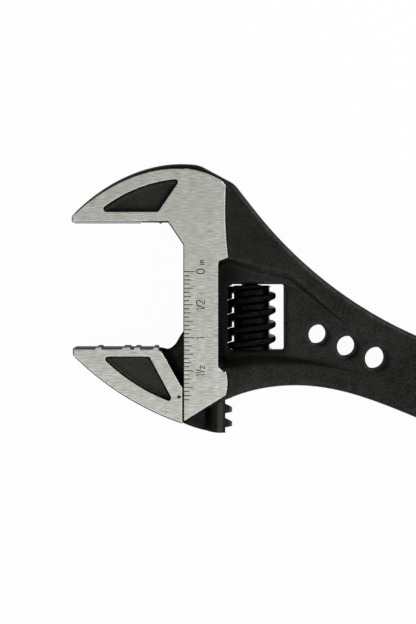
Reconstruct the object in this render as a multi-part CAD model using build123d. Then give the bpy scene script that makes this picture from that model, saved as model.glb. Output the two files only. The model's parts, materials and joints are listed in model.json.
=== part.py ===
from build123d import *
from math import cos, pi, radians, sin, sqrt, tan
import os

# Wide-opening adjustable wrench, lying flat, in millimetres.
# X runs from the jaw tips to the handle, Y from the movable jaw up to the fixed one, Z out of the front.
# While it is drawn, X = 0 is the column's throat edge, Y = 0 the fixed jaw's face, Z = 0 the middle plane.
# The finished pieces are moved so that the origin lies on the fixed jaw's face, this far from the throat.
face_point_to_throat = 30.0

# Forging
head_thickness = 19.0           # between the two ground faces
ground_height = 0.8             # ground faces above the black forging
forging_margin = 0.35           # forging beyond the ground face at a jaw tip
edge_round = 1.6                # rounded edges of the forging
edge_break = 0.35               # bevel around a ground face

# Fixed jaw
jaw_reach = 42.6                # throat to tip
tip_height = 2.5                # blunt tip
throat_run = 5.8                # bevel between jaw face and column
throat_drop = 8.6
forged_crown = [(-24.6, 16.35), (-6.0, 22.15)]
crown_end = (6.5, 21.85)
crown_round = 10.0
shoulder = (19.7, 14.75)
shoulder_round = 8.0
ground_crown = [(-24.3, 15.4), (-1.3, 20.7)]
ground_corner = (15.0, 15.7)
ground_corner_round = 2.2
ground_corner_drop = 1.6        # short bevel above the column's right edge
relief_depth = 0.42             # shallow cuts in the gripping face
relief_cuts = [(-16.9, -9.5), (-8.6, -5.9)]

# Column, with an inch scale
column_width = 16.4
column_length = 76.8            # from the fixed jaw's face, along the throat edge
column_slant = 31.8             # lower end, in degrees
upper_edge_wave = [(-0.2, 1.0), (0.8, -13.2)]   # ground face's right edge above the recess, from the width
lower_edge_wave = [(0.0, 19.6), (0.7, 14.7)]    # and below it, heights above the column's lower end
foot_round = 1.2                # corner of the ground face at the lower end
heel_drop = 2.0                 # forging below the ground face at the column's lower corner
inch = 25.4
scale_zero = 0.75 * inch        # zero mark below the fixed jaw's face
scale_parts = 16                # divisions of an inch
scale_marks = 32
mark_width = 0.28
mark_depth = 0.12
mark_lengths = {16: 4.2, 4: 3.7, 2: 3.0, 1: 2.3}

# Handle
handle_angle = 22.5             # below the X axis
handle_width = 29.4
handle_thickness = 11.8
handle_reach = 138.0            # from the middle hole to the end
handle_shift = 0.6              # handle's middle below the line of holes
neck_angle = 52.0
neck_round = 162.0
arch_points = [(41.7, 13.7), (26.1, 11.6)]      # heights above the column's lower end
arch_end = 31.0                 # where the lower edge becomes straight, from the middle hole
arch_angle = 24.0               # of the lower edge where it meets the column's foot
taper_start = -38.0             # thickness changes between these places along the handle
taper_end = 34.0
hang_hole_diameter = 11.0
hang_hole_wall = 8.5            # from the hole to the handle's end

# Lightening holes
hole_middle = (63.45, -48.05)
hole_spacing = 12.1
hole_diameters = [7.7, 8.15, 8.85]

# Dished recess around the window and the holes
dish_height = 6.8               # flat floor above the middle plane, at the middle hole
dish_fall = 0.035               # floor's fall towards the lower arm
dish_wall_foot = 4.2            # sloped walls are cut down to here
dish_levels = (6.7, 8.7)        # heights of the two outlines below
dish_upper_floor = [(13.35, -16.2), (17.5, -16.8), (28.0, -20.6), (40.0, -23.1), (60.3, -38.4)]
dish_upper_rim = [(13.35, -14.85), (17.5, -14.0), (28.0, -16.9), (40.5, -19.5), (61.5, -36.4)]
dish_lower_floor = [(63.5, 19.5), (40.0, 24.3), (13.35, 22.5)]  # heights above the column's lower end
dish_lower_rim = [(64.0, 17.0), (42.0, 21.2), (13.35, 19.6)]
dish_upper_rounds = [2.4, 3.0, 40.0, 9.0, 40.0]
dish_corner_round = 2.6
dish_end = 46.0                 # past the place where the recess runs out
dish_end_half = (3.0, -9.0)

# Worm
worm_x = 26.7
worm_tip_radius = 9.45
worm_root_radius = 6.45
worm_collar_radius = 5.8
worm_pitch = 7 / 32 * inch      # right-hand, single start
ridge_tip = 1.9
ridge_upper_flank = 12.0        # degrees from square
ridge_lower_flank = 25.0
ridge_level = -25.69            # a ridge's middle on the rack's side
worm_collar_top = 0.3
worm_collar_bottom = 0.3
window_top = -24.0
window_length = 25.7
window_left_reach = 9.5         # from the worm's axis; its ridges turn in the rack's bore there
window_finger_gap = 3.45
window_round = 0.8
worm_spring_gap = 0.8
worm_foot_gap = 0.15

# Rack
rack_radius = 5.5
rack_bore_gap = 0.15
rack_top = -21.4
rack_foot = -81.55
foot_rise = 0.8                 # round lower end, at the bar's left side
rack_tip_gap = 1.15             # rack teeth to worm root
rack_root_gap = 0.98            # worm ridges to rack root
load_gap = 0.16                 # below a worm ridge, where it bears on a tooth
play_gap = 0.44                 # above it, except at the rack's solid upper end

# Movable jaw, drawn at the opening that the photograph shows
jaw_opening = 48.2
jaw_travel_in = 48.1
slide_gap = 0.25                # jaw to column
grip_height = 0.5               # ridges on the gripping face
grip_bevel = 0.4
grip_ridges = [(-33.9, -31.6), (-23.6, -20.5), (-18.95, -16.65), (-11.6, -9.6)]
lower_tip_height = 3.3
lower_tip_setback = 0.4
lower_bulge = (-20.3, -20.2)    # on the jaw's round back, from the throat and from the gripping face
lower_length = 29.35
lower_corner = -8.8             # right end of the gripping face
lower_corner_round = 4.0
lower_slant_drop = 15.7
web_thickness = 5.4
web_gap = 0.15
web_rise = 5.8                  # web's upper edge above the gripping face inside the column
web_curve = [(-9.0, -0.6), (-6.0, -1.1), (-3.35, 0.6)]  # its upper edge, heights from the gripping face
web_curve_way = (0.6, 0.8)      # direction in which the curve enters the column
web_root = 3.0                  # web inside the thick jaw
slot_lead = 1.2                 # slot beyond the web when closed

# Pockets in the jaws
pocket_depth = 2.4
pocket_draft = 12.0
pocket_round = 1.15
fixed_pocket = [(-33.0, 3.85), (-9.7, 3.85), (-0.9, 16.7)]
fixed_pocket_bulge = (-18.0, 12.85)
movable_pocket = [(-31.7, -3.5), (-3.4, -21.5), (-13.0, -3.5)]
movable_pocket_bulge = (-19.0, -13.9)
index_mark = (-1.75, -scale_zero)
index_diameter = 1.3

# Pin and spring
pin_diameter = 5.0
pin_gap = 0.05
pin_head_diameter = 7.4
pin_head_length = 3.0
pin_head_sink = 1.4             # below the arm's edge
pin_top = -16.0
pin_tip_bevel = 0.5
pin_slot_width = 1.1
pin_slot_depth = 1.2
pin_turning_gap = 0.2           # worm on its pin
spring_wire = 0.9
spring_diameter = 8.0           # outside
spring_turns = 4
spring_room = 6.0               # depth of the seat in the worm
spring_seat_gap = 0.3
spring_end_gap = 0.3

# Places that follow from the sizes above
half_head = head_thickness / 2
half_forging = half_head - ground_height
window_bottom = window_top - window_length
window_left = worm_x - window_left_reach
window_right = worm_x + worm_tip_radius + window_finger_gap
worm_top = window_top - worm_spring_gap
worm_bottom = window_bottom + worm_foot_gap
thread_bottom = worm_bottom + worm_collar_bottom
thread_top = worm_top - worm_collar_top
ridge_height = worm_tip_radius - worm_root_radius
rack_tip_x = worm_x - worm_root_radius - rack_tip_gap
rack_root_x = worm_x - worm_tip_radius - rack_root_gap
rack_x = rack_tip_x - rack_radius
rack_bore_radius = rack_radius + rack_bore_gap
lower_face = -jaw_opening
far = 400.0                     # reach of cutting tools beyond the part
cut_margin = 1.0                # cutting tools beyond a face
near = 0.01                     # places closer than this are the same

axis_direction = Vector(cos(radians(handle_angle)), -sin(radians(handle_angle)))
across_direction = Vector(sin(radians(handle_angle)), cos(radians(handle_angle)))


def handle_point(along, across):
    """A point on the handle's own grid: along it from the middle hole, across it towards the fixed jaw."""
    return Vector(*hole_middle) + axis_direction * along + across_direction * across


def slab(outline, half):
    """A plate of the given outline, as thick above the middle plane as below."""
    return extrude(outline, half, both=True)


def ground_slab(outline):
    """A plate between the two ground faces, with their edges bevelled."""
    plate = slab(outline, half_head)
    levels = plate.edges().group_by(Axis.Z)
    return chamfer(levels[0] + levels[-1], edge_break)


def column_foot(x):
    """Height of the column's slanted lower end."""
    return -column_length + x * tan(radians(column_slant))


def above_foot(points):
    """Places that are given by their height above the column's lower end."""
    return [(x, y - column_length) for x, y in points]


def corner(outline, place):
    """The outline's corner nearest to a place."""
    return outline.vertices().sort_by_distance(Vector(*place))[0]


def throat_lines(tip):
    """The machined lines that the forging and its ground face share, from the column's foot to the tip."""
    return Polyline((0, -column_length), (0, -throat_drop), (-throat_run, 0), (tip, 0))


def forging_outline():
    """Silhouette of the frame."""
    tip = -(jaw_reach + forging_margin)
    blunt = (tip, tip_height)
    low = -handle_width / 2 - handle_shift
    high = handle_width / 2 - handle_shift
    end_middle = handle_reach - handle_width / 2
    neck = Vector(cos(radians(neck_angle)), -sin(radians(neck_angle)))
    upper_line = handle_point(0, high)
    turn = neck.X * axis_direction.Y - neck.Y * axis_direction.X
    gap = upper_line - Vector(*shoulder)
    neck_corner = Vector(*shoulder) + neck * ((gap.X * axis_direction.Y - gap.Y * axis_direction.X) / turn)
    heel = (column_width, column_foot(column_width) - heel_drop)
    straight = handle_point(arch_end, low)
    arch_way = Vector(-cos(radians(arch_angle)), -sin(radians(arch_angle)))
    lines = [
        Line((tip, 0), blunt),
        Spline(blunt, *forged_crown, crown_end),
        Polyline(crown_end, shoulder, neck_corner, handle_point(end_middle, high)),
        ThreePointArc(handle_point(end_middle, high), handle_point(handle_reach, -handle_shift),
                      handle_point(end_middle, low)),
        Line(handle_point(end_middle, low), straight),
        Spline(straight, *above_foot(arch_points), heel, tangents=[-axis_direction, arch_way]),
        Line(heel, (0, -column_length)),
        throat_lines(tip),
    ]
    outline = make_face(lines)
    outline = fillet(corner(outline, (neck_corner.X, neck_corner.Y)), neck_round)
    outline = fillet(corner(outline, shoulder), shoulder_round)
    return fillet(corner(outline, crown_end), crown_round)


def ground_outline():
    """The fixed jaw and the column, as the ground faces show them."""
    blunt = (-jaw_reach, tip_height)
    bevel_end = (column_width, ground_corner[1] - ground_corner_drop)
    lower_corner_place = (column_width, column_foot(column_width))
    upper_wave = [(column_width + x, y) for x, y in upper_edge_wave]
    lower_wave = [(column_width + x, y) for x, y in above_foot(lower_edge_wave)]
    lines = [
        Line((-jaw_reach, 0), blunt),
        Spline(blunt, *ground_crown, ground_corner),
        Line(ground_corner, bevel_end),
        Spline(bevel_end, *upper_wave),
        Line(upper_wave[-1], lower_wave[0]),
        Spline(*lower_wave, lower_corner_place),
        Line(lower_corner_place, (0, -column_length)),
        throat_lines(-jaw_reach),
    ]
    outline = make_face(lines)
    outline = fillet(corner(outline, ground_corner), ground_corner_round)
    return fillet(corner(outline, lower_corner_place), foot_round)


def thickness_profile():
    """Side view of the forging along the handle: thick at the head, slim at the handle."""
    half_handle = handle_thickness / 2
    upper = [
        Line((-far, half_forging), (taper_start, half_forging)),
        Spline((taper_start, half_forging), (taper_end, half_handle), tangents=[(1, 0), (1, 0)]),
        Line((taper_end, half_handle), (far, half_handle)),
    ]
    lower = [mirror(line, about=Plane.XZ) for line in upper]
    ends = [Line((x, half), (x, -half)) for x, half in ((-far, half_forging), (far, half_handle))]
    plane = Plane(origin=handle_point(0, 0), x_dir=axis_direction, z_dir=-across_direction)
    return extrude(plane * make_face(upper + lower + ends), far, both=True)


def rounded_forging(solid, outline, machined):
    """The forging with its rim rounded, except along the machined walls."""
    def on_rim(edge):
        middle = edge.position_at(0.5)
        flat = Vertex(middle.X, middle.Y, 0)
        upright = abs(edge.tangent_at(0.5).Z) > 0.9
        return not upright and rim.distance_to(flat) < near and not machined(middle)
    rim = outline.face().outer_wire()
    return fillet(solid.edges().filter_by(on_rim), edge_round)


def dish():
    """Recess of the front: sloped walls around a flat floor that runs out towards the handle."""
    def outline(height):
        share = (height - dish_levels[0]) / (dish_levels[1] - dish_levels[0])
        ends = [handle_point(dish_end, across) for across in dish_end_half]
        pairs = [(Vector(*low), Vector(*high)) for low, high in zip(floor_places, rim_places)]
        points = [low + (high - low) * share for low, high in pairs]
        upper, lower = points[:len(dish_upper_rim)], points[len(dish_upper_rim):]
        face = make_face([Polyline(lower[-1], *upper, *ends), Spline(ends[-1], *lower)])
        for place, radius in zip(upper + lower[-1:], dish_upper_rounds + [dish_corner_round]):
            face = fillet(corner(face, (place.X, place.Y)), radius)
        return Pos(0, 0, height) * face
    floor_places = dish_upper_floor + above_foot(dish_lower_floor)
    rim_places = dish_upper_rim + above_foot(dish_lower_rim)
    walls = loft([outline(dish_wall_foot), outline(half_head + cut_margin)], ruled=True)
    upwards = Vector(0, 0, 1) - across_direction * dish_fall
    floor_plane = Plane(origin=handle_point(0, 0) + Vector(0, 0, dish_height), z_dir=upwards)
    above_floor = Box(far, far, head_thickness, align=(Align.CENTER, Align.CENTER, Align.MIN))
    return walls & (floor_plane * above_floor)


def window():
    """Opening for the worm."""
    outline = RectangleRounded(window_right - window_left, window_length, window_round)
    return Pos((window_left + window_right) / 2, window_top - window_length / 2) * slab(outline, far)


def upright_cylinder(x, low, high, radius):
    """A round along Y between two heights."""
    plane = Plane(origin=(x, low, 0), x_dir=(1, 0, 0), z_dir=(0, 1, 0))
    return plane * Cylinder(radius, high - low, align=(Align.CENTER, Align.CENTER, Align.MIN))


def web_slot():
    """Slot for the movable jaw's web, with room for it when the jaws are closed."""
    top = lower_face + web_rise + jaw_travel_in + slot_lead
    left = -throat_run - slot_lead
    lines = Polyline((left, -slot_lead), (-slot_lead / 2, top), (rack_x, top), (rack_x, -far), (left, -far),
                     close=True)
    return slab(make_face(lines), web_thickness / 2 + web_gap)


def pin_seat_level():
    """Underside of the pin's head seat in the lower arm."""
    edge = arch_points[1][1] - column_length
    return edge + pin_head_sink + pin_head_length


def pin_hole():
    """Stepped hole for the worm's pin, from the lower arm's edge."""
    shaft = upright_cylinder(worm_x, -far, pin_top, pin_diameter / 2 + pin_gap)
    return shaft + upright_cylinder(worm_x, -far, pin_seat_level(), pin_head_diameter / 2 + pin_gap)


def pocket(lines):
    """Shallow pocket with sloped walls and rounded corners, for the front face."""
    outline = make_face(lines)
    outline = fillet(outline.vertices(), pocket_round)
    return extrude(Pos(0, 0, half_head) * outline, -pocket_depth, taper=pocket_draft)


def both_faces(cutter):
    """The same cut on the front and on the back."""
    return cutter + mirror(cutter, about=Plane.XY)


def fixed_pocket_cut():
    left, right, top = fixed_pocket
    return pocket([Polyline(left, right, top), ThreePointArc(top, fixed_pocket_bulge, left)])


def scale_cuts():
    """Marks of the inch scale along the column's edge."""
    cuts = []
    for number in range(scale_marks):
        step = max(size for size in mark_lengths if number % size == 0)
        length = mark_lengths[step]
        height = -scale_zero - number * inch / scale_parts
        cuts.append(Pos(length / 2, height, half_head) * Box(length, mark_width, 2 * mark_depth))
    return cuts


def relief_cut(span):
    left, right = span
    return Pos((left + right) / 2, 0) * Box(right - left, 2 * relief_depth, 2 * far)


def make_frame():
    outline = forging_outline()

    def machined(place):
        below_jaw = place.Y < near and place.X < near
        on_foot = place.X < column_width - near and place.Y < -throat_drop
        return below_jaw or on_foot or place.X < -jaw_reach

    forging = rounded_forging(slab(outline, half_head) & thickness_profile(), outline, machined)
    frame = forging + ground_slab(ground_outline())
    frame -= both_faces(dish())
    frame -= window()
    frame -= upright_cylinder(rack_x, -far, far, rack_bore_radius)
    frame -= web_slot()
    frame -= pin_hole()
    frame -= both_faces(fixed_pocket_cut())
    for number, diameter in enumerate(hole_diameters):
        place = handle_point((number - 1) * hole_spacing, 0)
        frame -= Pos(place.X, place.Y) * Cylinder(diameter / 2, far)
    place = handle_point(handle_reach - hang_hole_wall - hang_hole_diameter / 2, -handle_shift)
    frame -= Pos(place.X, place.Y) * Cylinder(hang_hole_diameter / 2, far)
    frame -= [relief_cut(span) for span in relief_cuts]
    return frame - scale_cuts()


def jaw_outline(margin):
    """The movable jaw's thick part, with its round back moved out by a margin."""
    tip = -(jaw_reach - lower_tip_setback + margin)
    floor = lower_face - grip_height
    right = -slide_gap
    foot = (right, lower_face - lower_length - margin)
    blunt = (tip, lower_face - lower_tip_height)
    bulge = (lower_bulge[0], lower_face + lower_bulge[1] - margin)
    lines = [
        Polyline(blunt, (tip, floor), (lower_corner, floor), (right, lower_face - lower_slant_drop), foot),
        ThreePointArc(foot, bulge, blunt),
    ]
    outline = make_face(lines)
    return fillet(corner(outline, (lower_corner, floor)), lower_corner_round)


def grip_ridge(span):
    """A low ridge across the gripping face."""
    left, right = span
    height = 2 * grip_height
    ridge = Box(right - left, height, head_thickness)
    ridge = chamfer(ridge.edges().filter_by(Axis.Z).group_by(Axis.Y)[-1], grip_bevel)
    return Pos((left + right) / 2, lower_face - height / 2) * ridge


def web():
    """Thin plate between the jaw and its rack."""
    top = lower_face + web_rise
    curve = [(x, lower_face + y) for x, y in web_curve]
    web_left = web_curve[0][0]
    outline = make_face([
        Spline(*curve, (0, top), tangents=[(1, 0), web_curve_way]),
        Polyline((0, top), (rack_x, top), (rack_x, rack_foot), (-slide_gap, rack_foot),
                 (-slide_gap, lower_face - lower_length),
                 (-slide_gap - web_root, lower_face - lower_slant_drop),
                 (web_left, lower_face - lower_corner_round), curve[0]),
    ])
    return slab(outline, web_thickness / 2)


def foot_cut():
    """What lies below the round lower end of the web and the rack."""
    start = (-slide_gap, lower_face - lower_length - forging_margin)
    end = (rack_tip_x + cut_margin, rack_foot)
    arc = ThreePointArc(start, (rack_x - rack_radius, rack_foot + foot_rise), end)
    return slab(make_face([arc, Polyline(end, (end[0], -far), (start[0], -far), start)]), half_head)


def rack():
    """Round bar with slanted teeth, which are the spaces between the worm's ridges, less their gaps."""
    bar = upright_cylinder(rack_x, rack_foot, rack_top, rack_radius)
    upper = tan(radians(ridge_upper_flank))
    lower = tan(radians(ridge_lower_flank))
    ridge_edge = worm_x - worm_tip_radius
    half = ridge_tip / 2
    lead = worm_pitch / (2 * pi * (worm_tip_radius + worm_root_radius) / 2)
    reach = rack_tip_x + cut_margin
    cuts = []
    number = 0
    while ridge_level - number * worm_pitch > rack_foot - worm_pitch:
        level = ridge_level - number * worm_pitch
        upper_gap = play_gap if number else load_gap
        above = [(x, level + half + upper_gap + (x - ridge_edge) * upper) for x in (rack_root_x, reach)]
        below = [(x, level - half - load_gap - (x - ridge_edge) * lower) for x in (reach, rack_root_x)]
        outline = make_face(Polyline(*above, *below, close=True))
        start = Pos(0, -lead * rack_radius, -rack_radius) * outline
        cuts.append(extrude(start, 2 * rack_radius * sqrt(1 + lead ** 2), dir=(0, lead, 1)))
        number += 1
    return bar - cuts


def movable_pocket_cut():
    left, low, right = [(x, lower_face + y) for x, y in movable_pocket]
    bulge = (movable_pocket_bulge[0], lower_face + movable_pocket_bulge[1])
    return pocket([Polyline(left, right, low), ThreePointArc(low, bulge, left)])


def make_movable_jaw():
    outline = jaw_outline(forging_margin)

    def machined(place):
        return place.Y > lower_face - lower_tip_height - near or place.X > lower_corner

    forged = rounded_forging(slab(outline, half_forging), outline, machined)
    jaw = forged + ground_slab(jaw_outline(0))
    jaw += [grip_ridge(span) for span in grip_ridges]
    jaw = jaw + (web() + rack() - foot_cut())
    jaw -= both_faces(movable_pocket_cut())
    x, y = index_mark[0], lower_face + index_mark[1]
    jaw -= Pos(x, y, half_head) * Cylinder(index_diameter / 2, 2 * mark_depth)
    return jaw - Pos(x / 2, y, half_head) * Box(-x, mark_width, 2 * mark_depth)


def thread_section():
    """Cross-section of the worm's thread, where turning stands for moving along the axis."""
    per_mm = 2 * pi / worm_pitch
    half = ridge_tip / 2
    lower = half + ridge_height * tan(radians(ridge_lower_flank))
    upper = half + ridge_height * tan(radians(ridge_upper_flank))

    def point(along, radius):
        return (radius * cos(-along * per_mm), radius * sin(-along * per_mm))

    def flank(start, end, first, last):
        steps = 6
        return Spline(*[point(start + (end - start) * n / steps, first + (last - first) * n / steps)
                        for n in range(steps + 1)])

    tip, root = worm_tip_radius, worm_root_radius
    bottom = (lower + worm_pitch - upper) / 2
    return make_face([
        ThreePointArc(point(half, tip), point(0, tip), point(-half, tip)),
        flank(-half, -lower, tip, root),
        ThreePointArc(point(-lower, root), point(-bottom, root), point(upper - worm_pitch, root)),
        flank(upper - worm_pitch, half - worm_pitch, root, tip),
    ])


def make_worm():
    """Screw on an upright axis, with a seat for the spring in its upper end."""
    length = thread_top - thread_bottom
    turn = 360 / worm_pitch
    rack_side = ridge_level + worm_pitch / 2
    section = Rot(0, 0, (thread_bottom - rack_side) * turn) * thread_section()
    thread = Solid.extrude_linear_with_rotation(section.face(), (0, 0, 0), (0, 0, length), length * turn)
    upright = Plane(origin=(worm_x, thread_bottom, 0), x_dir=(1, 0, 0), z_dir=(0, 1, 0))
    worm = upright * thread
    overlap = worm_collar_bottom / 2
    worm += upright_cylinder(worm_x, worm_bottom, thread_bottom + overlap, worm_collar_radius)
    worm += upright_cylinder(worm_x, thread_top - overlap, worm_top, worm_collar_radius)
    worm -= upright_cylinder(worm_x, -far, far, pin_diameter / 2 + pin_turning_gap)
    seat_radius = spring_diameter / 2 + spring_seat_gap
    return worm - upright_cylinder(worm_x, worm_top - spring_room, far, seat_radius)


def make_worm_pin():
    """Headed pin with a screwdriver slot, seated in the lower arm."""
    seat = pin_seat_level()
    pin = upright_cylinder(worm_x, seat, pin_top, pin_diameter / 2)
    pin = chamfer(pin.edges().group_by(Axis.Y)[-1], pin_tip_bevel)
    pin += upright_cylinder(worm_x, seat - pin_head_length, seat, pin_head_diameter / 2)
    slot = Box(pin_head_diameter + cut_margin, 2 * pin_slot_depth, pin_slot_width)
    return pin - Pos(worm_x, seat - pin_head_length) * slot


def biarc(start, start_way, end, end_way):
    """Two arcs that leave and arrive along given directions."""
    gap = end - start
    ways = start_way + end_way
    spread = 2 * (1 - start_way.dot(end_way))
    reach = (-gap.dot(ways) + sqrt(gap.dot(ways) ** 2 + spread * gap.dot(gap))) / spread
    first = start + start_way * reach
    last = end - end_way * reach
    joint = (first + last) / 2
    return [TangentArc(start, joint, tangent=start_way), TangentArc(joint, end, tangent=(last - first))]


def make_worm_spring():
    """Open coil between the window's upper wall and the worm's seat."""
    radius = (spring_diameter - spring_wire) / 2
    bottom = worm_top - spring_room + spring_end_gap + spring_wire / 2
    rise = window_top - spring_wire / 2 - bottom
    quarters = round(spring_turns * 4)
    climb = rise / spring_turns / (2 * pi * radius)

    def place(quarter):
        angle = quarter * pi / 2
        return Vector(worm_x + radius * sin(angle), bottom + rise * quarter / quarters, radius * cos(angle))

    def way(quarter):
        angle = quarter * pi / 2
        return Vector(cos(angle), climb, -sin(angle)).normalized()

    arcs = []
    for quarter in range(quarters):
        arcs += biarc(place(quarter), way(quarter), place(quarter + 1), way(quarter + 1))
    section = Plane(origin=place(0), z_dir=way(0)) * Circle(spring_wire / 2)
    points = [place(step / 4) for step in range(4 * quarters + 1)]
    half_turn = 8
    gaps = [(a - b).length for n, a in enumerate(points) for b in points[n + half_turn:]]
    print("spring: least gap to itself", round(min(gaps) - spring_wire, 3), "mm")
    return sweep(section, path=Wire(Curve() + arcs))


os.makedirs("parts", exist_ok=True)
makers = {
    "frame": make_frame,
    "movable_jaw": make_movable_jaw,
    "worm": make_worm,
    "worm_pin": make_worm_pin,
    "worm_spring": make_worm_spring,
}
for name, maker in makers.items():
    piece = Pos(face_point_to_throat, 0, 0) * maker()
    export_step(piece, "parts/" + name + ".step")
    print(name, "solids", len(piece.solids()), "volume", round(piece.volume, 1))
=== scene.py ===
# %% [markdown]
# # A wide-opening adjustable wrench
# The tool is a black forged frame with bright ground faces, a sliding lower jaw, and a worm that drives it.
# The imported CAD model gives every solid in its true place, in metres, and this lesson dresses it:
# camera and light first, then the finishes, then the pieces that the solids only hint at.

import json
from math import cos, pi, radians, sin, sqrt, tan

import bpy
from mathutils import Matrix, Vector


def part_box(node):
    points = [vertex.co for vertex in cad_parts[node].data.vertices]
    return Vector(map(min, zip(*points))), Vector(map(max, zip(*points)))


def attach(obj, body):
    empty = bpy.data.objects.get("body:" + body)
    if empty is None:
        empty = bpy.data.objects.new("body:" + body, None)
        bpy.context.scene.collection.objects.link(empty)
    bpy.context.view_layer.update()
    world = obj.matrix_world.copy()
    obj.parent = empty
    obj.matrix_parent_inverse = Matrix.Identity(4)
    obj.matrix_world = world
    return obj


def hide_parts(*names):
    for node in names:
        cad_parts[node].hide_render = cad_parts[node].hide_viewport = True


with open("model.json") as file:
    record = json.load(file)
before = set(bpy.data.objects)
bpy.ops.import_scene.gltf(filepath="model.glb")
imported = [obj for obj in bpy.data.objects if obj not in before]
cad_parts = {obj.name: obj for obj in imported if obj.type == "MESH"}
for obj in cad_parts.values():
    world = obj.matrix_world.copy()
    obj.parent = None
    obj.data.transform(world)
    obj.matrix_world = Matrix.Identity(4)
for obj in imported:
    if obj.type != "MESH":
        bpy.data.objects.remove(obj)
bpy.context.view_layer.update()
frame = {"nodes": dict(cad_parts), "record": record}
mm = 0.001
inch = 25.4 * mm
nodes = frame["nodes"]
print("nodes:", sorted(nodes))

# %% [markdown]
# ## Camera
# The photograph looks straight down on the tool, so its own scale gives the distance: an inch of the
# engraved scale spans 66 pixels. The tool fills only part of the frame and sits off its middle,
# so the lens is shifted, as a view camera would be, and nothing leans.

# %% Camera above the tool
image_width, image_height = 416, 624
axis_pixel = (190, 276)                     # where the lens axis meets the picture
camera_place = Vector((32.58, -20.8, 544.5)) * mm
lens = 80.3
near_limit = 10 * mm

scene = bpy.context.scene
camera = bpy.data.objects.new("camera", bpy.data.cameras.new("camera"))
camera.location = camera_place
camera.data.lens = lens
camera.data.shift_x = (image_width / 2 - axis_pixel[0]) / image_height
camera.data.shift_y = (axis_pixel[1] - image_height / 2) / image_height
camera.data.clip_start = near_limit
scene.collection.objects.link(camera)
scene.camera = camera
scene.view_settings.view_transform = "Standard"
print("lens shift:", round(camera.data.shift_x, 4), round(camera.data.shift_y, 4))

# %% [markdown]
# ## Helpers for shader nodes
# Every finish below is a small network of nodes, and a few helpers keep that readable. One adds a node with
# its settings and its inputs, where an input is either a constant or another node's output. Others do sums,
# mix two values or colours, and stretch a value. The last ones build a node group and place it in a material.

# %% Node helpers


def feed(tree, socket, value):
    """Give an input a constant, or link it to an output."""
    if isinstance(value, bpy.types.NodeSocket):
        tree.links.new(value, socket)
    else:
        socket.default_value = value


def add_node(tree, kind, inputs=None, **settings):
    """A new node, with its settings and its inputs by name or number."""
    node = tree.nodes.new(kind)
    for name, value in settings.items():
        setattr(node, name, value)
    for name, value in (inputs or {}).items():
        feed(tree, node.inputs[name], value)
    return node


def number(tree, operation, first, second=0.0):
    """A sum of one or two values."""
    return add_node(tree, "ShaderNodeMath", {0: first, 1: second}, operation=operation).outputs[0]


def mix_numbers(tree, share, low, high):
    """A value between two others."""
    node = add_node(tree, "ShaderNodeMix", {"Factor": share, 2: low, 3: high}, data_type="FLOAT")
    return node.outputs[0]


def mix_colors(tree, share, low, high):
    """A colour between two others."""
    node = add_node(tree, "ShaderNodeMix", {"Factor": share, 6: low, 7: high}, data_type="RGBA")
    return node.outputs[2]


def remap(tree, value, low, high, to_low=0.0, to_high=1.0):
    """A value stretched from one span to another, with soft ends."""
    inputs = {"Value": value, "From Min": low, "From Max": high, "To Min": to_low, "To Max": to_high}
    return add_node(tree, "ShaderNodeMapRange", inputs, interpolation_type="SMOOTHSTEP").outputs[0]


def grey(level):
    """A colour without a tint."""
    return (level, level, level, 1.0)


print("node helpers ready")

# %% Group helpers


def new_group(name, inputs, outputs, kind="Float"):
    """An empty shader group with named sockets, its input node and its output node."""
    tree = bpy.data.node_groups.new(name, "ShaderNodeTree")
    for socket, default in inputs.items():
        made = tree.interface.new_socket(socket, in_out="INPUT", socket_type="NodeSocketFloat")
        made.default_value = default
    for socket in outputs:
        tree.interface.new_socket(socket, in_out="OUTPUT", socket_type="NodeSocket" + kind)
    return tree, add_node(tree, "NodeGroupInput"), add_node(tree, "NodeGroupOutput")


def height_of(tree, vector):
    """How far a vector reaches along Z, up or down."""
    return number(tree, "ABSOLUTE", add_node(tree, "ShaderNodeSeparateXYZ", {0: vector}).outputs["Z"])


def place_group(tree, group, **inputs):
    """A group inside a material, with its own values."""
    node = add_node(tree, "ShaderNodeGroup", node_tree=group)
    for name, value in inputs.items():
        feed(tree, node.inputs[name], value)
    return node.outputs


print("group helpers ready")

# %% [markdown]
# ## Studio
# The picture is a product shot from straight above: faces that look up are light, walls that look sideways
# are dark, and bevels that look right or down are bright. Metal and satin black show whatever surrounds
# them, so the sky does most of the work: pale above the lower jaw, dim round the horizon, with one brighter
# side, and a soft dark patch overhead, where the lens keeps the light off. A large soft box on the upper
# right draws the thin bright line along the rounded edge of the neck.

# %% Sky
sky_low, sky_high = 0.24, 1.25              # far from the sky's pale middle, and there
sky_middle = Vector((0.12, -0.84, 1.0)).normalized()
sky_span = (0.15, 0.95)                     # agreement with that middle, from dim to pale
horizon_share = 0.35                        # of the sky's light is left at the horizon
horizon_span = (0.0, 0.6)                   # rise above the horizon, from that share to all
side_glow = 0.45                            # added on the bright side
side_way = Vector((0.90, -0.32, 0.28)).normalized()
side_span = (0.70, 1.0)
lens_shade = 0.50                           # taken off overhead
lens_way = Vector((0.0, 0.16, 1.0)).normalized()
lens_span = (cos(radians(34)), cos(radians(4)))

world = bpy.data.worlds.new("studio")
scene.world = world
world.use_nodes = True
tree = world.node_tree
direction = add_node(tree, "ShaderNodeTexCoord").outputs["Generated"]


def towards(way):
    """How far a direction of the sky agrees with a given one."""
    inputs = {0: direction, 1: way}
    return add_node(tree, "ShaderNodeVectorMath", inputs, operation="DOT_PRODUCT").outputs["Value"]


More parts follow.
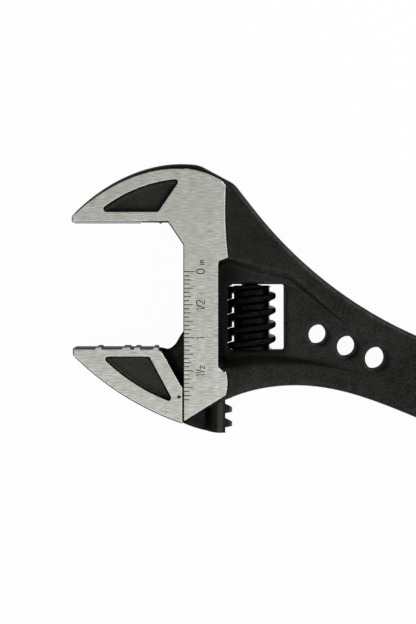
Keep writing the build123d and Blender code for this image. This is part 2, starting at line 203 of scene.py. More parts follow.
glow = remap(tree, towards(sky_middle), *sky_span, sky_low, sky_high)
upwards = towards(Vector((0, 0, 1)))
glow = number(tree, "MULTIPLY", glow, remap(tree, upwards, *horizon_span, horizon_share, 1.0))
glow = number(tree, "ADD", glow, remap(tree, towards(side_way), *side_span, 0.0, side_glow))
glow = number(tree, "SUBTRACT", glow, remap(tree, towards(lens_way), *lens_span, 0.0, lens_shade))
feed(tree, tree.nodes["Background"].inputs["Color"], glow)
print("sky from", sky_low, "to", sky_high)

# %% Soft box
box_place = Vector((0.80, 0.46, 0.60))      # in metres, on the picture's upper right
box_size = 0.6
box_power = 5.0

soft_box = bpy.data.objects.new("soft_box", bpy.data.lights.new("soft_box", "AREA"))
soft_box.data.size = box_size
soft_box.data.energy = box_power
soft_box.location = box_place
soft_box.rotation_euler = (-box_place).to_track_quat("-Z", "Y").to_euler()
scene.collection.objects.link(soft_box)
print("soft box of", box_power, "W")

# %% [markdown]
# ## Floor
# The tool lies on its back face. The photograph's ground is pure white, so the floor shines by itself for the
# rays that look at it, and takes the rest of its brightness from the lamps: that share keeps the shadow.

# %% Floor under the back face
floor_reach = 4.0
floor_white = 0.9
floor_glow = 0.965                          # share that the shadow can't darken

floor_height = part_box("frame")[0].z
corners = [(-floor_reach, -floor_reach), (floor_reach, -floor_reach), (floor_reach, floor_reach),
           (-floor_reach, floor_reach)]
floor_mesh = bpy.data.meshes.new("floor")
floor_mesh.from_pydata([(x, y, floor_height) for x, y in corners], [], [(0, 1, 2, 3)])
floor = bpy.data.objects.new("floor", floor_mesh)
scene.collection.objects.link(floor)

paper = bpy.data.materials.new("white_paper")
paper.use_nodes = True
tree = paper.node_tree
tree.nodes.clear()
path = add_node(tree, "ShaderNodeLightPath").outputs
seen = number(tree, "MAXIMUM", path["Is Camera Ray"], path["Is Glossy Ray"])
seen = number(tree, "MAXIMUM", seen, path["Is Transmission Ray"])
glow = number(tree, "MULTIPLY", seen, floor_glow)
matt = add_node(tree, "ShaderNodeBsdfDiffuse", {"Color": grey(floor_white)})
shine = add_node(tree, "ShaderNodeEmission", {"Color": grey(1.0), "Strength": 1.0})
mixed = add_node(tree, "ShaderNodeMixShader", {0: glow, 1: matt.outputs[0], 2: shine.outputs[0]})
add_node(tree, "ShaderNodeOutputMaterial", {"Surface": mixed.outputs[0]})
floor_mesh.materials.append(paper)
print("floor at", round(floor_height / mm, 2), "mm")

# %% [markdown]
# ## Effects that several finishes share
# Ground steel carries short fine scratches along the jaws. Forged steel under black oxide is slightly mottled
# and pitted, dull on its cut walls, and soft along its edges, where handling rubs it off; along the rims that
# lighter edge is also a painted highlight. Its cut walls and deep corners get painted shade, and its slopes
# get more painted shade where they look down the column than where they look up it. Each effect is a node
# group, built once, that puts out masks or a normal, so each material can use it with its own values.
# Coordinates come from the object, in metres, and stay with it when it moves.

# %% Brushed grain
noise_span = (0.3, 0.7)                     # a noise's usual values, stretched to a whole mask
streak_span = (0.25, 0.75)

grain_sizes = {"Length": 6 * mm, "Width": 0.3 * mm}
grain, given, result = new_group("brushed grain", grain_sizes, ["Streaks", "Patches"])
place = add_node(grain, "ShaderNodeTexCoord").outputs["Object"]
fine = number(grain, "DIVIDE", 1.0, given.outputs["Width"])
long = number(grain, "DIVIDE", 1.0, given.outputs["Length"])
stretch = add_node(grain, "ShaderNodeCombineXYZ", {"X": long, "Y": fine, "Z": fine}).outputs[0]
stretched = add_node(grain, "ShaderNodeVectorMath", {0: place, 1: stretch}, operation="MULTIPLY").outputs[0]
streaks = add_node(grain, "ShaderNodeTexNoise", {"Vector": stretched, "Scale": 1.0, "Detail": 4.0})
patches = add_node(grain, "ShaderNodeTexNoise", {"Vector": place, "Scale": long, "Detail": 3.0})
feed(grain, result.inputs["Streaks"], remap(grain, streaks.outputs[0], *streak_span))
feed(grain, result.inputs["Patches"], remap(grain, patches.outputs[0], *noise_span))
print("group:", grain.name)

# %% Forged skin
pits_per_mottle = 5.0                       # how much finer the pits are than the mottle
specks_per_mottle = 1.3
speck_edge = (0.05, 0.03)                   # from outside a speck to inside it, in cells

skin, given, result = new_group("forged skin", {"Size": 4 * mm}, ["Mottle", "Pits", "Specks"])
place = add_node(skin, "ShaderNodeTexCoord").outputs["Object"]
scale = number(skin, "DIVIDE", 1.0, given.outputs["Size"])
mottle = add_node(skin, "ShaderNodeTexNoise", {"Vector": place, "Scale": scale, "Detail": 5.0})
pit_scale = number(skin, "MULTIPLY", scale, pits_per_mottle)
pits = add_node(skin, "ShaderNodeTexNoise", {"Vector": place, "Scale": pit_scale, "Detail": 3.0})
speck_scale = number(skin, "MULTIPLY", scale, specks_per_mottle)
specks = add_node(skin, "ShaderNodeTexVoronoi", {"Vector": place, "Scale": speck_scale})
feed(skin, result.inputs["Mottle"], remap(skin, mottle.outputs[0], *noise_span))
feed(skin, result.inputs["Pits"], remap(skin, pits.outputs[0], *noise_span))
feed(skin, result.inputs["Specks"], remap(skin, specks.outputs["Distance"], *speck_edge))
print("group:", skin.name)

# %% Edge wear
worn_span = (0.995, 0.9)                    # how far plain and rounded normals agree, from whole to worn

wear, given, result = new_group("edge wear", {"Radius": 0.4 * mm}, ["Worn"])
plain_normal = add_node(wear, "ShaderNodeNewGeometry").outputs["Normal"]
round_normal = add_node(wear, "ShaderNodeBevel", {"Radius": given.outputs["Radius"]}, samples=6).outputs[0]
agree = add_node(wear, "ShaderNodeVectorMath", {0: plain_normal, 1: round_normal}, operation="DOT_PRODUCT")
feed(wear, result.inputs["Worn"], remap(wear, agree.outputs["Value"], *worn_span))
print("group:", wear.name)

# %% Soft edges
soft, given, result = new_group("soft edges", {"Radius": 0.5 * mm}, ["Normal"], kind="Vector")
round_normal = add_node(soft, "ShaderNodeBevel", {"Radius": given.outputs["Radius"]}, samples=8).outputs[0]
feed(soft, result.inputs["Normal"], round_normal)
print("group:", soft.name)

# %% Cut walls
facing_span = (0.15, -0.15)                 # a normal's Y, from looking up the column to looking down it

walls, given, result = new_group("cut walls", {"Steepest": 0.05, "Shallowest": 0.3}, ["Wall", "Down"])
normal = add_node(walls, "ShaderNodeNewGeometry").outputs["True Normal"]
lean = height_of(walls, normal)
facing = add_node(walls, "ShaderNodeSeparateXYZ", {0: normal}).outputs["Y"]
steep = remap(walls, lean, given.outputs["Shallowest"], given.outputs["Steepest"])
feed(walls, result.inputs["Wall"], steep)
feed(walls, result.inputs["Down"], remap(walls, facing, *facing_span))
print("group:", walls.name)

# %% Deep corners
deep, given, result = new_group("deep corners", {"Reach": 3 * mm, "Open": 0.97, "Closed": 0.75}, ["Corner"])
inputs = {"Distance": given.outputs["Reach"]}
open_sky = add_node(deep, "ShaderNodeAmbientOcclusion", inputs, samples=24, only_local=True).outputs["AO"]
feed(deep, result.inputs["Corner"], remap(deep, open_sky, given.outputs["Open"], given.outputs["Closed"]))
print("group:", deep.name)

# %% Ground faces
bevel_lean = cos(pi / 4)
lean_tolerance = 0.1

ground, given, result = new_group("ground faces", {"Height": 9.5 * mm, "Width": 0.4 * mm}, ["Flat", "Bevel"])
place = add_node(ground, "ShaderNodeTexCoord").outputs["Object"]
level = height_of(ground, place)
lean = height_of(ground, add_node(ground, "ShaderNodeNewGeometry").outputs["True Normal"])
inputs = {0: lean, 1: bevel_lean, 2: lean_tolerance}
slanted = add_node(ground, "ShaderNodeMath", inputs, operation="COMPARE").outputs[0]
bevel_foot = number(ground, "SUBTRACT", given.outputs["Height"], given.outputs["Width"])
above_foot = number(ground, "GREATER_THAN", level, bevel_foot)
feed(ground, result.inputs["Flat"], number(ground, "GREATER_THAN", level, given.outputs["Height"]))
feed(ground, result.inputs["Bevel"], number(ground, "MULTIPLY", slanted, above_foot))
print("group:", ground.name)

# %% [markdown]
# ## Two-tone finish of the frame and the jaw
# Both forgings were blackened first and then ground on their two flat faces, so bright steel shows exactly
# where a surface reaches the full thickness, and on the column's bevels. Every pocket, wall and engraved
# mark stayed black. The gripping faces were cut clean as well, and show a duller steel, the jaw's in a darker
# tone that is painted shade. Painted shade darkens the recess's slopes, its floor beside the worm, the jaw's
# web and the rack bar, and a painted highlight lightens the bar's crest, which its bore also rubs paler.
# Height, slope and place tell all these apart, so masks do it and no surface is split.

# %% Colours of the forgings
steel_dark = (0.35, 0.355, 0.322, 1.0)
steel_light = (0.90, 0.905, 0.850, 1.0)
steel_tint = (0.57, 0.575, 0.473, 1.0)      # a trace of oil and wear, slightly yellow
black_deep = (0.0085, 0.0085, 0.0079, 1.0)
black_worn = (0.0395, 0.0395, 0.0368, 1.0)
# painted shade: the darker black of enclosed walls, deep corners, the jaw's web and the rack bar
painted_shade_black = (0.0050, 0.0050, 0.0046, 1.0)
# painted shade on the recess's slopes
slope_shade_black = (0.0022, 0.0022, 0.0020, 1.0)
# painted shade on the recess's floor beside the worm
recess_shade_black = (0.0085, 0.0085, 0.0079, 1.0)
pocket_grey = (0.052, 0.053, 0.046, 1.0)
# lighter grey of rubbed edges and specks; along the forging's rims and the rack bar's crest it is also a
# painted highlight
edge_grey = (0.05, 0.05, 0.047, 1.0)
# the jaw's gripping face has a darker tone than the frame's, as painted shade
frame_grip_tone, jaw_grip_shaded_tone = grey(0.34), grey(0.09)
print("black from", black_deep[0], "to", black_worn[0])

# %% Places that the masks tell apart
half_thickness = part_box("frame")[1].z
ground_tolerance = 0.05 * mm
ground_bevel = 0.36 * mm
pocket_levels = (5.0 * mm, 8.0 * mm)        # heights of the pockets' floors lie between these
recess_levels = (5.8 * mm, 8.2 * mm)        # and those of the recess's floor between these
web_levels = (2.0 * mm, 3.4 * mm)           # and those of the jaw's web between these
bar_levels = (4.6 * mm, 5.7 * mm)           # and the crest of its rack bar between these
bar_start = 38.9 * mm                       # the bar and its teeth lie beyond this
bar_crest = 44.2 * mm                       # where the bar rubs in its bore, and a painted highlight runs along it
bar_span = (1.7 * mm, 0.2 * mm)             # distance from the crest, from plain to painted highlight
recess_shade_span = (58.0 * mm, 46.5 * mm)       # painted shade on the recess's floor grows from here to here
slide_edge = 29.2 * mm                      # the jaw's sliding edge and the column lie beyond this
tip_edge = -11.6 * mm                       # bevels between here and the column are black, not bright
throat_edge = 30.5 * mm                     # the frame's bevels are bright beyond this
grip_band = 0.56 * mm
frame_grip_level = 0.0
jaw_grip_level = frame["record"]["mounts"][1]["pos_m"][1] + 0.5 * grip_band
frame_grip_end, jaw_grip_end = 13.7 * mm, 21.5 * mm
print("half thickness", round(half_thickness / mm, 2), "mm")
print("the jaw's gripping band lies round", round(jaw_grip_level / mm, 2), "mm")

# %% Shares, reaches and grain of the finish
mottle_size, broad_mottle_size = 4 * mm, 26 * mm
pit_share, broad_share = 0.65, 0.3          # of the pits and of the broad mottle in the black's tone
wear_radius = 0.7 * mm
# rubbed edges, which along the rims are also a painted highlight
worn_and_highlight_share, speck_share = 0.5, 0.5
corner_reach = 4.5 * mm
slope_reach = 10 * mm                       # the recess's slopes see its floor within this
hollow_reach = 30 * mm                      # the window's and the holes' walls see each other within this
slope_steepest, slope_shallowest = 0.90, 0.985
slope_open, slope_closed = 1.0, 0.96        # share of sky that a slope sees, from bare to full painted shade
slope_shade_shares = (0.50, 0.70)                    # painted shade on slopes that look up the column, and down it
# painted shade on the jaw's web
web_shade_share = 0.45
bar_shade_share, crest_highlight_share = 0.5, 0.9               # painted shade on the rack bar, and painted highlight on its crest
pocket_share = (0.35, 0.75)
black_roughness = (0.46, 0.36)              # from deep to worn
hollow_roughness = 0.95
scratch_length, scratch_width = 3.2 * mm, 0.34 * mm
patch_length, patch_width = 11 * mm, 1.4 * mm
patch_share, tint_share = 0.18, 0.4
steel_roughness = (0.44, 0.32)
frame_grip_roughness, jaw_grip_roughness = 0.5, 0.95
black_edge_radius, steel_edge_radius = 2.8 * mm, 0.45 * mm
relief_strength, relief_depth = 0.18, 0.06 * mm
print("edges rounded by", round(black_edge_radius / mm, 2), "and", round(steel_edge_radius / mm, 2), "mm")

# %% Masks by place


def along(tree, axis):
    """A coordinate in the object's own frame."""
    place = add_node(tree, "ShaderNodeTexCoord").outputs["Object"]
    return add_node(tree, "ShaderNodeSeparateXYZ", {0: place}).outputs[axis]


def away(tree, axis, place):
    """Distance from a place on one axis."""
    return number(tree, "ABSOLUTE", number(tree, "SUBTRACT", along(tree, axis), place))


def cut_off(tree, end, mask, side="LESS_THAN"):
    """A mask, kept on one side of a place along X."""
    return number(tree, "MULTIPLY", mask, number(tree, side, along(tree, "X"), end))


def layer(tree, low, high):
    """Mask of what lies between two heights, on the front and on the back."""
    level = away(tree, "Z", 0.0)
    above = number(tree, "GREATER_THAN", level, low)
    return number(tree, "MULTIPLY", above, number(tree, "LESS_THAN", level, high))


def grip_mask(tree, level, end):
    """Mask of a gripping face at one height, from the tip to its inner end."""
    return cut_off(tree, end, number(tree, "LESS_THAN", away(tree, "Y", level), grip_band))


def crest_highlight_mask(tree, crest):
    """Mask of the rack bar's crest, which its bore rubs and a painted highlight lightens."""
    near = remap(tree, away(tree, "X", crest), *bar_span)
    return number(tree, "MULTIPLY", near, layer(tree, *bar_levels))


def recess_shade_mask(tree, flat):
    """Mask of painted shade on the recess's floor, strongest between the window and the column."""
    near = cut_off(tree, slide_edge, remap(tree, along(tree, "X"), *recess_shade_span), "GREATER_THAN")
    return number(tree, "MULTIPLY", number(tree, "MULTIPLY", flat, near), layer(tree, *recess_levels))


print("masks ready")

# %% Black skin


def black_skin(tree, forged, wall):
    """Colour and roughness of blackened forging: mottled, lighter at rubbed edges, which is partly a painted
    highlight, dull on walls, and darkened by painted shade on walls, slopes, floors and in corners.
    """
    # painted shade in deep corners; rubbed edges stay out of them
    corner = place_group(tree, deep, Reach=corner_reach)["Corner"]
    worn = place_group(tree, wear, Radius=wear_radius)["Worn"]
    worn = number(tree, "MULTIPLY", worn, number(tree, "SUBTRACT", 1.0, corner))
    hollow = number(tree, "MULTIPLY", wall, place_group(tree, deep, Reach=hollow_reach)["Corner"])
    # painted shade on the recess's slopes, stronger where they look down the column
    slope = place_group(tree, walls, Steepest=slope_steepest, Shallowest=slope_shallowest)
    shade = place_group(tree, deep, Reach=slope_reach, Open=slope_open, Closed=slope_closed)["Corner"]
    slope_shade_mask = number(tree, "MULTIPLY", slope["Wall"], mix_numbers(tree, slope["Down"], *slope_shade_shares))
    shade = number(tree, "MULTIPLY", shade, slope_shade_mask)
    flat = number(tree, "SUBTRACT", 1.0, slope["Wall"])
    # painted shade on the flat web of the jaw
    web = number(tree, "MULTIPLY", number(tree, "MULTIPLY", flat, layer(tree, *web_levels)), web_shade_share)
    broad = place_group(tree, skin, Size=broad_mottle_size)["Mottle"]
    fine = mix_numbers(tree, pit_share, forged["Mottle"], forged["Pits"])
    blotch = mix_numbers(tree, broad_share, fine, broad)
    color = mix_colors(tree, blotch, black_deep, black_worn)
    color = mix_colors(tree, shade, color, slope_shade_black)
    # painted shade on enclosed walls, in deep corners and on the jaw's web
    for mask in (hollow, corner, web):
        color = mix_colors(tree, mask, color, painted_shade_black)
    # painted shade on the recess's floor beside the worm
    color = mix_colors(tree, recess_shade_mask(tree, flat), color, recess_shade_black)
    floor_share = remap(tree, blotch, 0.0, 1.0, *pocket_share)
    pocket = cut_off(tree, slide_edge, layer(tree, *pocket_levels))
    color = mix_colors(tree, number(tree, "MULTIPLY", pocket, floor_share), color, pocket_grey)
    # rubbed edges, lighter; along the rims this is also a painted highlight
    color = mix_colors(tree, number(tree, "MULTIPLY", worn, worn_and_highlight_share), color, edge_grey)
    color = mix_colors(tree, number(tree, "MULTIPLY", forged["Specks"], speck_share), color, edge_grey)
    rough = mix_numbers(tree, blotch, *black_roughness)
    return color, mix_numbers(tree, hollow, rough, hollow_roughness)


print("black skin ready")

# %% Ground steel


def brushed_steel(tree):
    """Colour, roughness and relief of ground steel."""
    brushed = place_group(tree, grain, Length=scratch_length, Width=scratch_width)
    broad = place_group(tree, grain, Length=patch_length, Width=patch_width)
    tone = mix_numbers(tree, patch_share, brushed["Streaks"], brushed["Patches"])
    color = mix_colors(tree, tone, steel_dark, steel_light)
    color = mix_colors(tree, number(tree, "MULTIPLY", broad["Patches"], tint_share), color, steel_tint)
    return color, mix_numbers(tree, brushed["Streaks"], *steel_roughness), brushed["Streaks"]


print("ground steel ready")

# %% Two-tone material


def new_material(name):
    """A material with a plain Principled shader, and its node tree."""
    material = bpy.data.materials.new(name)
    material.use_nodes = True
    tree = material.node_tree
    return material, tree, tree.nodes["Principled BSDF"]


def two_tone(name, grip_level, grip_end, grip_tone, grip_rough, bevel_start, crest=None):
    """Black forging with bright ground faces, a duller gripping face and perhaps a rack bar with painted
    shade and a painted highlight along its rubbed crest.
    """
    material, tree, shader = new_material(name)
    faces = place_group(tree, ground, Height=half_thickness - ground_tolerance, Width=ground_bevel)
    tip = cut_off(tree, tip_edge, faces["Bevel"])
    bevel = cut_off(tree, bevel_start, faces["Bevel"], "GREATER_THAN")
    bright = number(tree, "MAXIMUM", faces["Flat"], number(tree, "MAXIMUM", tip, bevel))
    grip = grip_mask(tree, grip_level, grip_end)
    steel = number(tree, "MAXIMUM", bright, grip)
    forged = place_group(tree, skin, Size=mottle_size)
    wall = place_group(tree, walls)["Wall"]
    black, black_rough = black_skin(tree, forged, wall)
    if crest:
        # painted shade on the rack bar and its teeth, and a painted highlight along its crest, where the bore
        # also rubs it
        black = mix_colors(tree, cut_off(tree, bar_start, bar_shade_share, "GREATER_THAN"), black, painted_shade_black)
        lit_crest = number(tree, "MULTIPLY", crest_highlight_mask(tree, crest), crest_highlight_share)
        black = mix_colors(tree, lit_crest, black, edge_grey)
    steel_color, steel_rough, scratches = brushed_steel(tree)
    steel_color = mix_colors(tree, bright, grip_tone, steel_color)
    steel_rough = mix_numbers(tree, bright, grip_rough, steel_rough)
    feed(tree, shader.inputs["Base Color"], mix_colors(tree, steel, black, steel_color))
    feed(tree, shader.inputs["Roughness"], mix_numbers(tree, steel, black_rough, steel_rough))
    shader.inputs["Metallic"].default_value = 1.0
    edge_radius = mix_numbers(tree, steel, black_edge_radius, steel_edge_radius)
    rounded = place_group(tree, soft, Radius=edge_radius)["Normal"]
    relief = mix_numbers(tree, steel, forged["Pits"], scratches)
    inputs = {"Height": relief, "Strength": relief_strength, "Distance": relief_depth, "Normal": rounded}
    feed(tree, shader.inputs["Normal"], add_node(tree, "ShaderNodeBump", inputs).outputs[0])
    return material


print("two-tone finish ready")

# %% Dress the frame and the jaw


def dress(node, material):
    """Give a CAD solid one finish all over."""
    mesh = nodes[node].data
    mesh.materials.clear()
    mesh.materials.append(material)


dress("frame", two_tone("frame_two_tone", frame_grip_level, frame_grip_end, frame_grip_tone,
                        frame_grip_roughness, throat_edge))
dress("movable_jaw", two_tone("jaw_two_tone", jaw_grip_level, jaw_grip_end, jaw_grip_shaded_tone,
                              jaw_grip_roughness, slide_edge, bar_crest))
print("frame and jaw dressed")

# %% [markdown]
# ## Worm
# The worm is a coarse screw turned by the thumb, so its ridges carry a fine straight knurl and every corner
# is rounded. The CAD solid has the plain thread. A surface of rings gives the real one: each ring is a full
# turn of points at one height, and each point's radius comes from how far it lies from the ridge's middle.

# %% Worm sizes
worm_low, worm_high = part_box("worm")
worm_axis = (worm_low.x + worm_high.x) / 2
worm_pitch = inch * 7 / 32
ridge_level = -25.69 * mm                   # a ridge's middle on the rack's side
tip_radius = (worm_high.z - worm_low.z) / 2
thread_depth = 2.45 * mm
root_radius = tip_radius - thread_depth
collar_radius = root_radius
collar_height = 0.3 * mm
top_rise = 0.3 * mm                         # how far the rounded upper end stands above the plain solid
collar_bevel = 0.15 * mm
pin_bore = 2.7 * mm
seat_radius, seat_depth = 4.3 * mm, 6.0 * mm
ridge_upper, ridge_lower = 1.10 * mm, -0.88 * mm  # ends of the ridge's tip before rounding
upper_flank, lower_flank = tan(radians(7)), tan(radians(26))
tip_round, root_round = 0.9 * mm, 0.5 * mm
knurl_count = 72
knurl_depth = 0.16 * mm
knurl_start = 0.6                           # share of the thread's depth where the knurl begins
points_per_knurl = 6
sharp_angle = radians(35)                   # edges above this stay sharp
print("worm axis at", round(worm_axis / mm, 2), "mm, tip radius", round(tip_radius / mm, 2), "mm")

# %% [markdown]
# A ball rolled along the inside of the ridge can't reach into a sharp corner, so what it does reach is the
# ridge with rounded tips; a smaller ball on the outside rounds the roots. Over one pitch this is quick to
# work out from a row of radii, and it keeps the flanks straight, which plain smoothing wouldn't.

# %% Worm profile
profile_steps = 240
step_length = worm_pitch / profile_steps


def ridge_radius(offset):
    """Radius of the sharp-cornered thread, at a height above or below the ridge's middle."""
    above = max(0.0, offset - ridge_upper) / upper_flank
    below = max(0.0, ridge_lower - offset) / lower_flank
    return max(root_radius, tip_radius - above - below)


def sharp_radius(offset):
    """The same for the nearest of the neighbouring ridges."""
    return max(ridge_radius(offset + turn * worm_pitch) for turn in (-1, 0, 1))


def roll(radii, ball, choose, side):
    """Radii that a ball's middle or its surface reaches along a row of radii."""
    reach = int(ball / step_length)
    shifts = range(-reach, reach + 1)
    arch = {shift: side * sqrt(ball ** 2 - (shift * step_length) ** 2) for shift in shifts}
    return [choose(radii[(n + shift) % profile_steps] + arch[shift] for shift in shifts)
            for n in range(profile_steps)]


profile = [sharp_radius((n / profile_steps - 0.5) * worm_pitch) for n in range(profile_steps)]
profile = roll(roll(profile, tip_round, min, -1), tip_round, max, 1)
profile = roll(roll(profile, root_round, max, 1), root_round, min, -1)


def worm_radius(turn, height):
    """Radius of the knurled thread at a share of a full turn and a height."""
    phase = ((height - ridge_level) / worm_pitch - turn) % 1.0
    radius = profile[int((phase + 0.5) % 1.0 * profile_steps) % profile_steps]
    crest = max(0.0, (radius - root_radius) / thread_depth - knurl_start) / (1 - knurl_start)
    return radius - crest * knurl_depth * (0.5 + 0.5 * cos(2 * pi * turn * knurl_count))


print("profile from", round(min(profile) / mm, 2), "to", round(max(profile) / mm, 2), "mm")

# %% Worm surface


def ring(height, radius):
    """A full turn of points, starting on the rack's side; the radius is a number or follows the thread."""
    count = knurl_count * points_per_knurl
    points = []
    for step in range(count):
        turn = step / count
        reach = radius(turn, height) if callable(radius) else radius
        points.append((worm_axis - reach * cos(2 * pi * turn), height, reach * sin(2 * pi * turn)))
    return points


def ring_mesh(name, rings):
    """A closed mesh from rings of points, the last one joined to the first."""
    count = len(rings[0])
    faces = []
    for row in range(len(rings)):
        here, there = row * count, (row + 1) % len(rings) * count
        for step in range(count):
            after = (step + 1) % count
            faces.append((here + step, there + step, there + after, here + after))
    mesh = bpy.data.meshes.new(name)
    mesh.from_pydata([point for points in rings for point in points], [], faces)
    mesh.update()
    mesh.shade_smooth()
    mesh.set_sharp_from_angle(angle=sharp_angle)
    return mesh


worm_top = worm_high.y + top_rise
thread_low, thread_high = worm_low.y + collar_height, worm_top - collar_height
thread_rows = 150
heights = [thread_low + (thread_high - thread_low) * n / thread_rows for n in range(thread_rows + 1)]
rings = [ring(worm_low.y, pin_bore), ring(worm_low.y, collar_radius - collar_bevel),
         ring(worm_low.y + collar_bevel, collar_radius), ring(thread_low, collar_radius)]
rings += [ring(height, worm_radius) for height in heights]
rings += [ring(thread_high, collar_radius), ring(worm_top - collar_bevel, collar_radius),
          ring(worm_top, collar_radius - collar_bevel), ring(worm_top, seat_radius),
          ring(worm_high.y - seat_depth, seat_radius), ring(worm_high.y - seat_depth, pin_bore)]
worm = bpy.data.objects.new("worm_knurled", ring_mesh("worm_knurled", rings))
scene.collection.objects.link(worm)
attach(worm, "worm")
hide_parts("worm")
print("worm faces:", len(worm.data.polygons))

# %% [markdown]
# ## Spring
# The small spring between the worm and the window's upper wall has closed, ground ends: its first and last
# turns lie on their neighbours and are cut flat. The CAD solid has an even coil. A curve with a round bevel
# gives the wire, and pressing the points beyond the ends into their planes gives the ground faces.

# %% Spring with closed ends
wire = 0.9 * mm
closed_pitch = 1.03 * wire                  # closed turns all but touch
spring_turns = 4.0
points_per_turn = 32
spring_low, spring_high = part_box("worm_spring")
coil_radius = (spring_high.x - spring_low.x - wire) / 2
coil_axis = (spring_low.x + spring_high.x) / 2
ground_share = 0.3                          # height of the wire's middle above its end, in wires
coil_length = spring_high.y - spring_low.y - 2 * ground_share * wire
open_pitch = (coil_length - 2 * closed_pitch) / (spring_turns - 2)


def coil_point(turn):
    """A point of the wire's middle, so many turns from the lower end."""
    closed = min(turn, 1.0) + max(0.0, turn - spring_turns + 1)
    height = spring_low.y + ground_share * wire + closed * closed_pitch + (turn - closed) * open_pitch
    return (coil_axis - coil_radius * cos(2 * pi * turn), height, coil_radius * sin(2 * pi * turn), 1.0)


def swept_mesh(name, paths, line):
    """A mesh of round lines along paths of points."""
    curve = bpy.data.curves.new(name, "CURVE")
    curve.dimensions = "3D"
    curve.bevel_depth = line / 2
    curve.bevel_resolution = 3
    curve.use_fill_caps = True
    for path in paths:
        spline = curve.splines.new("POLY")
        spline.points.add(len(path) - 1)
        for point, co in zip(spline.points, path):
            point.co = co
    drawing = bpy.data.objects.new(name, curve)
    scene.collection.objects.link(drawing)
    bpy.context.view_layer.update()
    mesh = bpy.data.meshes.new_from_object(drawing.evaluated_get(bpy.context.evaluated_depsgraph_get()))
    bpy.data.objects.remove(drawing)
    return mesh


steps = int(spring_turns * points_per_turn)
coil = [coil_point(step / points_per_turn) for step in range(steps + 1)]
spring_mesh = swept_mesh("spring_wound", [coil], wire)
for vertex in spring_mesh.vertices:
    vertex.co.y = min(max(vertex.co.y, spring_low.y), spring_high.y)
spring_mesh.shade_smooth()
spring_mesh.set_sharp_from_angle(angle=sharp_angle)
spring = bpy.data.objects.new("spring_wound", spring_mesh)
scene.collection.objects.link(spring)
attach(spring, "frame")
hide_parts("worm_spring")
print("spring: open pitch", round(open_pitch / mm, 2), "mm")

# %% [markdown]
# ## Finishes of the small steel pieces
# The worm is turned and blackened, so it is smoother than the forging and catches small glints. The pin is
# blackened too, and the spring is bare drawn wire. One function makes all three, because only tone and gloss
# tell them apart.

# %% Worm, pin and spring finishes
small_mottle_size = 1.2 * mm
small_wear_radius = 0.2 * mm
small_worn_share = 0.3
rough_spread = 0.08
small_relief_strength, small_relief_depth = 0.1, 0.03 * mm
worm_tones, worm_roughness = (grey(0.0045), grey(0.0110)), 0.34
pin_tones, pin_roughness = (grey(0.010), grey(0.022)), 0.40
spring_tones, spring_roughness = (grey(0.22), grey(0.34)), 0.30


def small_steel(name, tones, rough):
    """Turned or drawn steel: a fine mottle between two tones, with rubbed edges."""
    material, tree, shader = new_material(name)
    forged = place_group(tree, skin, Size=small_mottle_size)
    worn = place_group(tree, wear, Radius=small_wear_radius)["Worn"]
    tone = mix_colors(tree, forged["Mottle"], *tones)
    tone = mix_colors(tree, number(tree, "MULTIPLY", worn, small_worn_share), tone, edge_grey)
    feed(tree, shader.inputs["Base Color"], tone)
    feed(tree, shader.inputs["Roughness"], mix_numbers(tree, forged["Mottle"], rough + rough_spread, rough))
    shader.inputs["Metallic"].default_value = 1.0
    inputs = {"Height": forged["Pits"], "Strength": small_relief_strength, "Distance": small_relief_depth}
    feed(tree, shader.inputs["Normal"], add_node(tree, "ShaderNodeBump", inputs).outputs[0])
    return material


worm.data.materials.append(small_steel("worm_black", worm_tones, worm_roughness))
dress("worm_pin", small_steel("pin_black", pin_tones, pin_roughness))
spring_mesh.materials.clear()
spring_mesh.materials.append(small_steel("spring_wire", spring_tones, spring_roughness))
print("small pieces dressed")

# %% [markdown]
# ## Figures of the inch scale
# The marks beside the column are cut in the solid. The figures are single lines, drawn with a marking tool,
# and read upwards along the column. A text object would give printed letters with thick and thin strokes, so
# each figure here is drawn as the tool's own path, and a flattened round bevel gives it its width.

# %% Figures as strokes


def arc(middle, reach, start, end, steps=14):
    """Points on an ellipse between two angles in degrees."""
    turns = [radians(start + (end - start) * n / steps) for n in range(steps + 1)]
    return [(middle[0] + reach[0] * cos(turn), middle[1] + reach[1] * sin(turn)) for turn in turns]


figure_strokes = {
    "0": [arc((0.30, 0.5), (0.29, 0.5), 90, 450, 24)],
    "1": [[(0.06, 0.78), (0.26, 1.0), (0.26, 0.0)]],
    "2": [arc((0.26, 0.72), (0.24, 0.28), 165, -35) + [(0.02, 0.0), (0.52, 0.0)]],
    "/": [[(0.0, -0.02), (0.30, 1.02)]],
    "i": [[(0.08, 0.0), (0.08, 0.64)], [(0.08, 0.84), (0.08, 0.92)]],
    "n": [[(0.0, 0.0), (0.0, 0.64)],
          [(0.0, 0.40)] + arc((0.21, 0.40), (0.21, 0.24), 150, 0, 8) + [(0.42, 0.0)]],
}
figure_widths = {"0": 0.60, "1": 0.30, "2": 0.52, "/": 0.30, "i": 0.32, "n": 0.42}
figure_gap = 0.09
print("figures:", " ".join(figure_strokes))

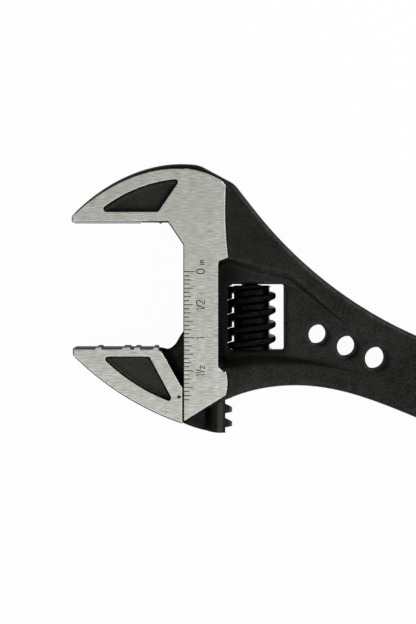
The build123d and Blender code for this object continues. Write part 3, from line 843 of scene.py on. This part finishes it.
# %% Labels along the column
figure_height = 3.1 * mm
figure_line = 0.42 * mm
figure_base = 38.15 * mm                    # where the figures stand, across the column
scale_zero = -19.05 * mm
stroke_flatness = 0.12

# Each label: its place on the scale in inches, and runs of figures with a size and a rise.
labels = [
    (0.0, [("0", 1.0, 0.0)]),
    (0.517, [("1/2", 1.0, 0.0)]),
    (1.015, [("1", 1.0, 0.0)]),
    (1.52, [("1", 1.0, 0.0), ("1", 0.56, 0.44), ("/", 1.0, 0.0), ("2", 0.56, 0.0)]),
]
unit_label = (-0.133, [("in", 0.72, 0.04)])


def label_strokes(runs):
    """All strokes of a label on one line, and the line's length."""
    strokes, length = [], 0.0
    for text, size, rise in runs:
        for figure in text:
            strokes += [[(length + x * size, rise + y * size) for x, y in stroke]
                        for stroke in figure_strokes[figure]]
            length += (figure_widths[figure] + figure_gap) * size
    return strokes, length - figure_gap


def label_paths(inches, runs):
    """Paths of a label's strokes, reading upwards and centred on its mark."""
    strokes, length = label_strokes(runs)
    middle = scale_zero - inches * inch
    return [[(figure_base - y * figure_height, middle + (x - length / 2) * figure_height, 0.0, 1.0)
             for x, y in stroke] for stroke in strokes]


paths = [path for inches, runs in labels + [unit_label] for path in label_paths(inches, runs)]
figure_mesh = swept_mesh("scale_figures", paths, figure_line)
for vertex in figure_mesh.vertices:
    vertex.co.z = half_thickness + stroke_flatness * vertex.co.z
figures = bpy.data.objects.new("scale_figures", figure_mesh)
scene.collection.objects.link(figures)
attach(figures, "frame")
print("figure faces:", len(figure_mesh.polygons))

# %% Colour of the figures
mark_mottle_size = 0.5 * mm
mark_tones = (grey(0.012), grey(0.034))
mark_roughness = (0.55, 0.7)

ink, tree, shader = new_material("marking_line")
marked = place_group(tree, skin, Size=mark_mottle_size)["Mottle"]
feed(tree, shader.inputs["Base Color"], mix_colors(tree, marked, *mark_tones))
feed(tree, shader.inputs["Roughness"], mix_numbers(tree, marked, *mark_roughness))
figure_mesh.materials.clear()
figure_mesh.materials.append(ink)
print("figures marked")
